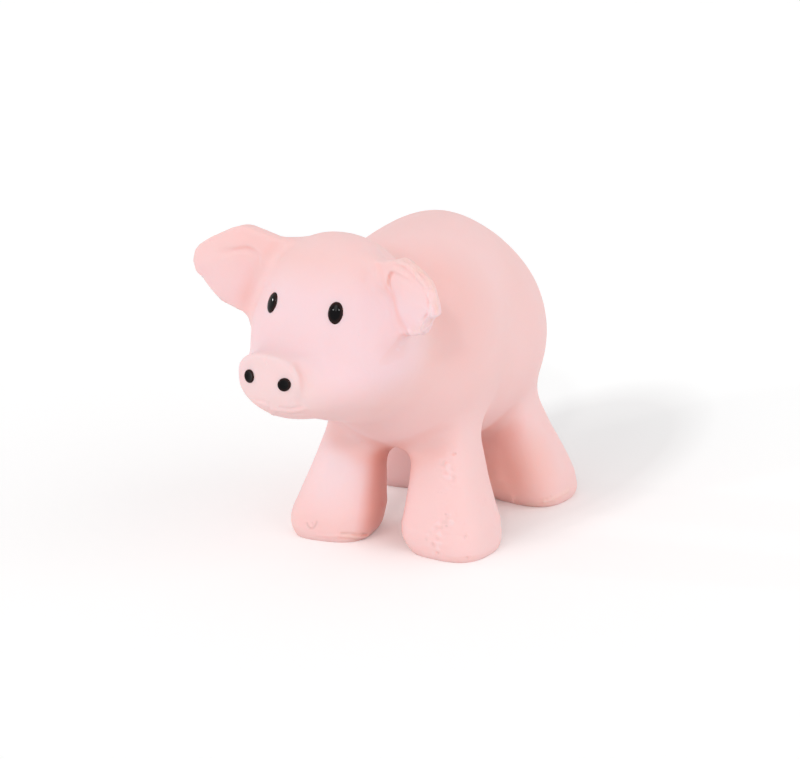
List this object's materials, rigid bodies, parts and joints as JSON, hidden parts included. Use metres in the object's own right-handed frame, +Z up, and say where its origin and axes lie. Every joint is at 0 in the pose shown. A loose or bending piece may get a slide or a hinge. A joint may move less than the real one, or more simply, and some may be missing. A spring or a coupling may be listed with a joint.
{
  "type": "toy pig figure",
  "caption": "Standing hollow rubber toy pig with floppy ears, glossy painted eyes and nostrils, flared feet and a rattle capsule sealed inside.",
  "frame": {"origin": "centre of the whole figure's box, on the floor under its feet", "axes": "+Z up, -Y the way the body faces, +X the pig's left side"},
  "size_m": [0.0706, 0.1104, 0.0793],
  "materials": {
    "pink_rubber": "satin moulded rubber",
    "plug_rubber": "matte moulded rubber",
    "black_enamel": "gloss",
    "white_plastic": "satin",
    "blue_plastic": "satin",
    "pellet_steel": "bright"
  },
  "bodies": {
    "figure": {"rubber_skin": "pink_rubber", "belly_plug": "plug_rubber", "left_eye": "black_enamel", "right_eye": "black_enamel", "left_nostril": "black_enamel", "right_nostril": "black_enamel"},
    "rattle": {"rattle_cup_lower": "white_plastic", "rattle_cup_upper": "blue_plastic"},
    "pellet_1": {"pellet_1": "pellet_steel"},
    "pellet_2": {"pellet_2": "pellet_steel"},
    "pellet_3": {"pellet_3": "pellet_steel"},
    "pellet_4": {"pellet_4": "pellet_steel"},
    "pellet_5": {"pellet_5": "pellet_steel"}
  },
  "joints": [
    {"name": "rattle_hop", "type": "slide", "parent": "figure", "child": "rattle", "axis": [0, 0, 1], "range_m": [0, 0.0305]},
    {"name": "pellet_1_hop", "type": "slide", "parent": "rattle", "child": "pellet_1", "axis": [0, 0, 1], "range_m": [0, 0.0112]},
    {"name": "pellet_2_hop", "type": "slide", "parent": "rattle", "child": "pellet_2", "axis": [0, 0, 1], "range_m": [0, 0.0082]},
    {"name": "pellet_3_hop", "type": "slide", "parent": "rattle", "child": "pellet_3", "axis": [0, 0, 1], "range_m": [0, 0.0082]},
    {"name": "pellet_4_hop", "type": "slide", "parent": "rattle", "child": "pellet_4", "axis": [0, 0, 1], "range_m": [0, 0.0082]},
    {"name": "pellet_5_hop", "type": "slide", "parent": "rattle", "child": "pellet_5", "axis": [0, 0, 1], "range_m": [0, 0.0082]}
  ]
}
